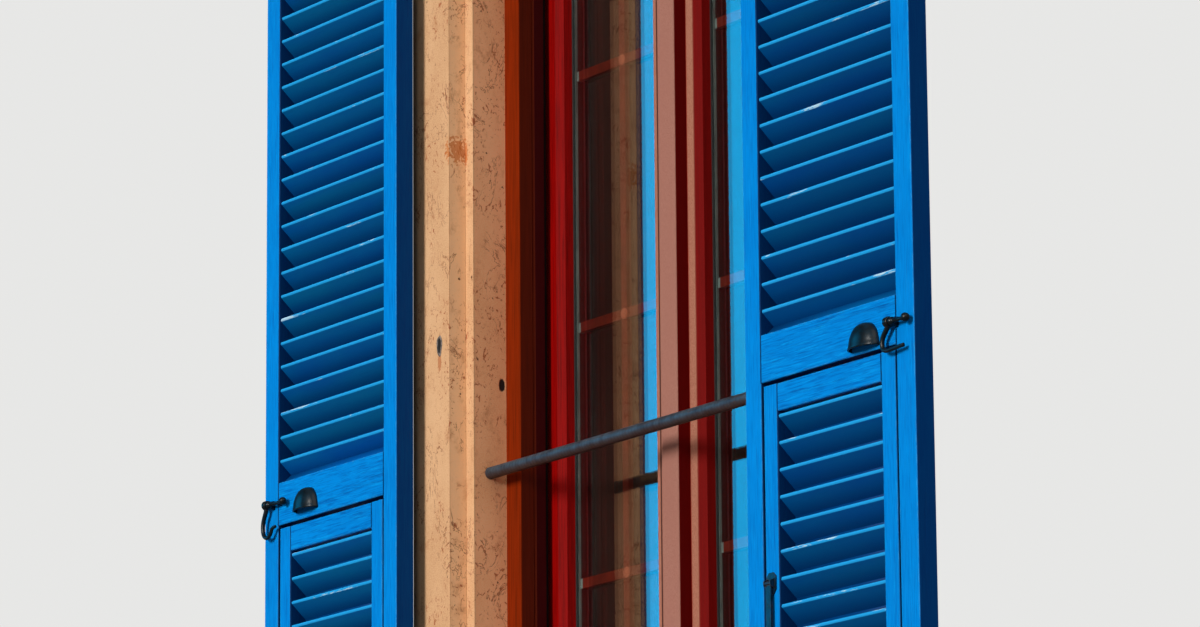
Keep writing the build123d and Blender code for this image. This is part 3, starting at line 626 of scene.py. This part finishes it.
def dark_iron(name, paint, worn, share):
    """Black-green paint worn through to brown iron along the edges."""
    n = Nodes(name)
    cloud = n.noise(90, (1, 1, 1), detail=5, rough=0.65)
    tone = n.mix(n.ramp(cloud, 0.35, 0.62), paint, linear(8, 18, 24))
    rust = n.ramp(n.noise(150, (1, 1, 1), detail=5, rough=0.7, shift=(3, 1, 2)), 0.62 - share, 0.72 - share)
    rust = n.most(n.times(rust, 0.7), n.times(edge_wear(n), 0.8))
    tone = n.mix(rust, tone, worn)
    n.relief(cloud, 0.35, 0.0008)
    return n.finish(tone, n.ramp(rust, 0.0, 1.0, 0.30, 0.6), Specular_IOR_Level=0.25)


def rail_steel(name):
    """Slate-grey paint on a bar with faint rolled ribs and rust spots, reddish-brown and darker towards the
    bottom.
    """
    n = Nodes(name)
    cloud = n.noise(60, (1, 1, 1), detail=4)
    tone = n.mix(n.ramp(cloud, 0.35, 0.7), linear(56, 70, 82), linear(38, 42, 50))
    rust = n.ramp(n.noise(110, (0.4, 1, 1), detail=4, shift=(1, 4, 2)), 0.6, 0.72, 0.0, 0.6)
    tone = n.mix(rust, tone, linear(74, 50, 44))
    # Darker and reddish-brown towards the bottom of the bar.
    tone = n.mix(n.ramp(n.axis("Z"), 0.8570, 0.8690, 0.8, 0.0), tone, linear(60, 36, 28))
    ribs = n.add("ShaderNodeTexWave", wave_type="BANDS", bands_direction="X")
    n.join(n.place, ribs.inputs["Vector"])
    ribs.inputs["Scale"].default_value = 34.0
    ribs.inputs["Distortion"].default_value = 1.5
    first = n.relief(cloud, 0.3, 0.0008)
    n.relief(ribs.outputs["Fac"], 0.25, 0.0006, under=first)
    return n.finish(tone, 0.5, Specular_IOR_Level=0.3)


def plain_metal(name, colour, rough, metallic):
    """Satin metal with a faint cloud in its polish."""
    n = Nodes(name)
    cloud = n.noise(70, (1, 1, 1), detail=3)
    tone = n.mix(n.ramp(cloud, 0.3, 0.7, 0.0, 0.3), colour, (0.25, 0.25, 0.26, 1.0))
    return n.finish(tone, rough, Metallic=metallic)


def soft_rubber(name):
    """Black glazing rubber."""
    n = Nodes(name)
    cloud = n.noise(200, (1, 1, 0.1), detail=2)
    return n.finish(n.mix(cloud, (0.012, 0.012, 0.013, 1.0), (0.03, 0.03, 0.032, 1.0)), 0.55)


def skin(grid, closed):
    """Faces over a grid of points: row i, column j joins row i+1, column j+1; closed wraps the columns."""
    rows, columns = grid.shape[:2]
    i, j = np.meshgrid(np.arange(rows - 1), np.arange(columns if closed else columns - 1), indexing="ij")
    k = (j + 1) % columns
    near = i * columns
    far = near + columns
    faces = np.stack([near + j, near + k, far + k, far + j], axis=-1)
    return grid.reshape(-1, 3), faces.reshape(-1, 4)


def make_piece(name, skins, material, body, stands_for=None, wall=0.0):
    """One mesh from several skins; faces are turned outwards and shaded smooth."""
    points = np.concatenate([p for p, f in skins])
    starts = np.cumsum([0] + [len(p) for p, f in skins[:-1]])
    faces = np.concatenate([f + start for (p, f), start in zip(skins, starts)])
    mesh = bpy.data.meshes.new(name)
    mesh.from_pydata(points.tolist(), [], faces.tolist())
    shape = bmesh.new()
    shape.from_mesh(mesh)
    bmesh.ops.remove_doubles(shape, verts=shape.verts, dist=1e-6)
    bmesh.ops.recalc_face_normals(shape, faces=shape.faces)
    shape.to_mesh(mesh)
    shape.free()
    mesh.shade_smooth()
    mesh.materials.append(material)
    piece = bpy.data.objects.new(name, mesh)
    bpy.context.collection.objects.link(piece)
    if wall:
        shell = piece.modifiers.new("wall", "SOLIDIFY")
        shell.thickness = wall
        shell.offset = -1.0
    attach(piece, body)
    if stands_for:
        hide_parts(stands_for)
    return piece


def turned(profile, y, z, count=32):
    """A turned form about a line along X: each (x, r) of the profile gives a circle of radius r at x."""
    x, r = np.array(profile, dtype=float).T
    t = np.linspace(0, 2 * np.pi, count, endpoint=False)
    ring = np.stack([np.zeros(count), np.cos(t), np.sin(t)], axis=-1)
    grid = r[:, None, None] * ring + np.stack([x, np.full_like(x, y), np.full_like(x, z)], axis=-1)[:, None]
    return skin(grid, True)


def ball_profile(x, radius, count=13):
    """Half circle from pole to pole: x = centre - radius cos a, r = radius sin a."""
    a = np.linspace(0.25, np.pi, count)
    return list(zip(x - radius * np.cos(a), radius * np.sin(a)))


def forged(levels, x, z, count=40):
    """A form that grows out of the leaf along Y: each (y, half width, half height) gives a rounded rectangle,
    the curve |u/a|^4 + |v/b|^4 = 1."""
    y, a, b = np.array(levels, dtype=float).T
    t = np.linspace(0, 2 * np.pi, count, endpoint=False)
    u = np.sign(np.cos(t)) * np.abs(np.cos(t)) ** 0.5
    v = np.sign(np.sin(t)) * np.abs(np.sin(t)) ** 0.5
    grid = np.stack([x + a[:, None] * u, np.repeat(y[:, None], count, 1), z + b[:, None] * v], axis=-1)
    return skin(grid, True)


def cut_corners(path, times=4):
    """Each run of a path gives points at a quarter and three quarters; repeated, its corners turn round."""
    for _ in range(times):
        near = 0.75 * path[:-1] + 0.25 * path[1:]
        far = 0.25 * path[:-1] + 0.75 * path[1:]
        path = np.concatenate([path[:1], np.stack([near, far], axis=1).reshape(-1, path.shape[1]), path[-1:]])
    return path


def wire(route, y, radius, count=16):
    """A round wire along a flat route of X and Z: circles square to it, tapered and closed at the tip."""
    path = cut_corners(np.array(route, dtype=float))
    way = np.gradient(path, axis=0)
    way /= np.linalg.norm(way, axis=1)[:, None]
    across = np.stack([-way[:, 1], np.zeros(len(way)), way[:, 0]], axis=-1)
    t = np.linspace(0, 2 * np.pi, count, endpoint=False)
    thick = radius * np.linspace(1.25, 0.85, len(path))
    thick[-1] = 0.0
    centre = np.stack([path[:, 0], np.full(len(path), y), path[:, 1]], axis=-1)
    swing = across[:, None] * np.cos(t)[:, None] + np.array([0.0, 1.0, 0.0]) * np.sin(t)[:, None]
    return skin(centre[:, None] + thick[:, None, None] * swing, True)


def hood_skin(x, y, z):
    """Half a dome on the leaf: at height angle v and turn u, X = x + w cos u c, Y = y - d sin u c and
    Z = z + h sin v, with c the cosine of v made fuller; the lowest rings flare into a lip."""
    u = np.linspace(0, np.pi, 49)[None]
    v = np.linspace(0, np.pi / 2, 25)[:, None]
    lip = 1.0 - 0.035 * np.clip((v - 0.05) / 0.12, 0, 1)
    full = np.cos(v) ** 0.72 * lip
    high = hood_high * np.sin(v) + 0.0 * u
    grid = np.stack([x + hood_half * np.cos(u) * full, y - hood_deep * np.sin(u) * full, z + high], axis=-1)
    return skin(grid, False)


# Outlines along X, as distance and radius: the spindle's head and lug, and the ring of the hook
spindle_head = [
    (-0.0080, 0.0), (-0.0080, 0.0060), (-0.0068, 0.0066), (-0.0060, 0.0060), (-0.0058, 0.0030),
]
spindle_lug = [
    (0.0, 0.0030), (0.0, 0.0062), (0.0010, 0.0070), (0.0052, 0.0068), (0.0064, 0.0050), (0.0085, 0.0034),
]
hook_ring = [
    (-0.0054, 0.0052), (-0.0054, 0.0078), (-0.0036, 0.0090), (0.0036, 0.0090),
    (0.0054, 0.0078), (0.0054, 0.0052), (-0.0054, 0.0052),
]


def make_ironwork():
    """Hoods, latches and wire hooks of both leaves."""
    paint = dark_iron("hood_iron", linear(4, 30, 42), linear(104, 74, 58), -0.04)
    iron = dark_iron("latch_iron", linear(6, 16, 20), linear(70, 36, 22), -0.02)
    rusty = dark_iron("hook_iron", linear(12, 18, 20), linear(84, 40, 20), 0.02)
    y = latch_y
    for side, hood_x, hood_z, eye, z, length, route in (
        ("left", -0.8547, 0.8510, -0.982, 0.8775, 0.059, left_hook),
        ("right", 0.8768, 0.8440, 0.954, 0.8720, 0.0455, right_hook),
    ):
        shutter = f"{side}_shutter"
        hood = hood_skin(hood_x, leaf_face, hood_z)
        cup = f"{side}_cup_pull"
        make_piece(f"{side}_hood", [hood], paint, shutter, cup, wall=hood_wall)
        lug = eye + 0.0065
        ball = eye + length
        spindle = [(eye + dx, r) for dx, r in spindle_head]
        spindle += [(lug + dx, r) for dx, r in spindle_lug]
        spindle += [(ball - 0.0100, 0.0030), (ball - 0.0078, 0.0036)]
        spindle += ball_profile(ball, 0.0075)
        foot = [
            (leaf_face, 0.0, 0.0), (leaf_face, 0.0034, 0.0086),
            (leaf_face - 0.006, 0.0031, 0.0074), (y, 0.0030, 0.0060),
        ]
        strut = [(leaf_face, 0.0, 0.0), (leaf_face, 0.0026, 0.0040), (y, 0.0019, 0.0029), (y, 0.0, 0.0)]
        skins = [turned(spindle, y, z), forged(foot, lug + 0.0031, z), forged(strut, lug + 0.0270, z)]
        make_piece(f"{side}_latch_forged", skins, iron, shutter, f"{side}_latch")
        ring = [(eye + dx, r) for dx, r in hook_ring]
        line = [(eye + dx, z + dz) for dx, dz in route]
        skins = [turned(ring, y, z), wire(line, y, wire_radius)]
        make_piece(f"{side}_wire_hook", skins, rusty, f"{side}_latch_hook", f"{side}_hook")


def batten(start, end, middle, half, count=12):
    """A batten from start to end: two rounded rectangles |u/a|^4 + |v/b|^4 = 1 square to its run, closed."""
    start, end, middle = np.array(start), np.array(end), np.array(middle)
    along = (end - start) / np.linalg.norm(end - start)
    side = np.cross(along, middle)
    t = np.linspace(0, 2 * np.pi, count, endpoint=False)
    u = half[0] * np.sign(np.cos(t)) * np.abs(np.cos(t)) ** 0.5
    v = half[1] * np.sign(np.sin(t)) * np.abs(np.sin(t)) ** 0.5
    ring = u[:, None] * middle + v[:, None] * side
    share = np.array([0.0, 1.0, 1.0, 0.0])[:, None, None]
    place = np.stack([start, start, end, end])[:, None]
    return skin(place + share * ring, True)


def level_batten(span, y, z, middle, half):
    """A batten along X between the two ends of a span."""
    return batten((span[0], y, z), (span[1], y, z), middle, half)


def make_slat_backs():
    """Rain lips on the back edges of the slats, a half slat and a fillet that close each panel below and
    above, and a bead that holds the slats behind the hinge stile."""
    blue = slat_paint("bead_blue", 0.0)
    upright = (0.0, 0.0, 1.0)
    slope = (0.0, math.cos(slat_slope), math.sin(slat_slope))
    for side, way in (("left", -1), ("right", 1)):
        for panel, body, under, over in (
            ("shutter", f"{side}_shutter", f"{side}_shutter_mid_rail", f"{side}_shutter_top_rail"),
            ("flap", f"{side}_flap", f"{side}_flap_bottom_rail", f"{side}_flap_top_rail"),
        ):
            low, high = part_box(f"{side}_{panel}_slats")
            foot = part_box(under)[1][2]
            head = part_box(over)[0][2]
            count = int(round((high[2] - low[2] - 0.036) / slat_pitch)) + 1
            span = (low[0] + 0.0003, high[0] - 0.0003)
            heights = [low[2] + slat_pitch * k - 0.0022 for k in range(1, count)]
            skins = [level_batten(span, high[1] - 0.0009, z, upright, lip_half) for z in heights]
            skins.append(level_batten(span, leaf_back - 0.0125, foot + 0.0110, slope, low_slat_half))
            skins.append(level_batten(span, leaf_back - 0.0020, head - 0.0035, upright, fillet_half))
            if panel == "shutter":
                x = way * (panel_left + 0.0058)
                ends = [(x, leaf_back + 0.0006, z) for z in (mid_rail_top + 0.002, top_rail_bottom - 0.002)]
                skins.append(batten(ends[0], ends[1], (1.0, 0.0, 0.0), bead_half))
            make_piece(f"{side}_{panel}_slat_lips", skins, blue, body)


def make_bar_knots():
    """Small domed caps where the glazing bars cross: r falls off as the cosine of the rise."""
    cap = frame_paint("bar_cap", linear(196, 104, 78), linear(160, 80, 60), linear(190, 130, 110))
    a = np.linspace(0, np.pi / 2, 8)
    t = np.linspace(0, 2 * np.pi, 28, endpoint=False)
    for side, x in (("left", -pane_column), ("right", pane_column)):
        skins = []
        for step in (-1, 0, 1):
            r = cap_radius * np.cos(a)[:, None]
            lift = (cap_rise * np.sin(a))[:, None] + 0.0 * t
            z = centre_z + step * pane_pitch
            grid = np.stack([x + r * np.cos(t), glass_middle - 0.0051 - lift, z + r * np.sin(t)], axis=-1)
            skins.append(skin(grid, True))
        make_piece(f"{side}_bar_caps", skins, cap, f"{side}_window_sash")


def make_old_plug():
    """An old pintle hole in the left jamb, plugged: an oval with a raised rim round a sunk dark middle."""
    n = Nodes("plug_lead")
    grit = n.noise(260, (1, 1, 1), detail=4)
    middle = spot(n, plug_place, (0.0062, 0.01, 0.0160), 0.12)
    rim = n.mix(n.ramp(grit, 0.35, 0.65), linear(132, 122, 116), linear(82, 72, 66))
    n.relief(grit, 0.5, 0.0010)
    lead = n.finish(n.mix(middle, rim, linear(16, 14, 16)), 0.7)
    share = np.array([1.0, 0.94, 0.80, 0.66, 0.40, 0.0])[:, None]
    lift = np.array([0.0, 0.0012, 0.0018, 0.0008, 0.0004, 0.0004])[:, None]
    t = np.linspace(0, 2 * np.pi, 36, endpoint=False)
    ragged = 1.0 + 0.06 * np.sin(3 * t) + 0.04 * np.sin(5 * t + 1.0)
    x = plug_place[0] + plug_half[0] * share * ragged * np.cos(t)
    z = plug_place[2] + plug_half[1] * share * ragged * np.sin(t)
    grid = np.stack([x, -lift + 0.0 * t, z], axis=-1)
    make_piece("old_plug", [skin(grid, True)], lead, "surround")


def dress_nodes():
    """Every node of the construction gets its finish."""
    blue = linear(0, 134, 221)
    shade = linear(0, 120, 205)
    upright_blue = timber_paint("shutter_blue_upright", "Z", blue, shade, 0.55)
    level_blue = timber_paint("shutter_blue_level", "X", blue, shade, 1.0)
    upper_slats = slat_paint("slat_blue_upper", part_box("left_shutter_slats")[0][2])
    lower_slats = slat_paint("slat_blue_lower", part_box("left_flap_slats")[0][2])
    iron = dark_iron("stay_iron", linear(8, 40, 66), linear(92, 66, 52), 0.0)
    steel = plain_metal("hinge_steel", (0.55, 0.55, 0.56, 1.0), 0.35, 0.9)
    stone = limestone("surround_stone")
    frame_red = frame_paint("frame_red", linear(128, 36, 2), linear(96, 27, 2), linear(128, 46, 20))
    sash_red = sash_paint("sash_red")
    chalk = chalky_paint("bleached_red")
    rubber = soft_rubber("glazing_rubber")
    for side in ("left", "right"):
        for part in ("shutter_hinge_stile", "shutter_free_stile", "flap_stiles"):
            give(f"{side}_{part}", upright_blue)
        for part in ("shutter_top_rail", "shutter_mid_rail", "shutter_bottom_rail", "flap_top_rail"):
            give(f"{side}_{part}", level_blue)
        give(f"{side}_flap_bottom_rail", level_blue)
        give(f"{side}_shutter_slats", upper_slats)
        give(f"{side}_flap_slats", lower_slats)
        give(f"{side}_shutter_straps", upright_blue)
        give(f"{side}_flap_hinge_fixed", level_blue)
        give(f"{side}_flap_hinge_moving", level_blue)
        for part in ("cup_pull", "latch", "hook", "flap_stay", "stay_bracket"):
            give(f"{side}_{part}", iron)
        give(f"{side}_jamb", stone)
        give(f"frame_{side}_member", frame_red)
        give(f"{side}_sash", sash_red)
        give(f"{side}_spacer_bars", spacer_finish(f"{side}_spacer", spacer_low, spacer_high))
        give(f"{side}_gaskets", rubber)
        give(f"{side}_sash_hinge_halves", steel)
        give(f"{side}_glass", pane_glass(f"{side}_glass"))
    give("frame_top_member", frame_red)
    give("frame_bottom_member", frame_red)
    give("lintel", stone)
    give("sill", stone)
    give("pintles", steel)
    give("frame_hinge_halves", steel)
    give("guard_rail", rail_steel("rail_steel"))
    give("meeting_strip", chalk)
    metal = plain_metal("handle_metal", (0.72, 0.72, 0.73, 1.0), 0.3, 1.0)
    give("handle_rosette", metal)
    give("window_handle", metal)


set_camera()
set_light()
set_floor()
dress_nodes()
make_ironwork()
make_slat_backs()
make_bar_knots()
make_old_plug()
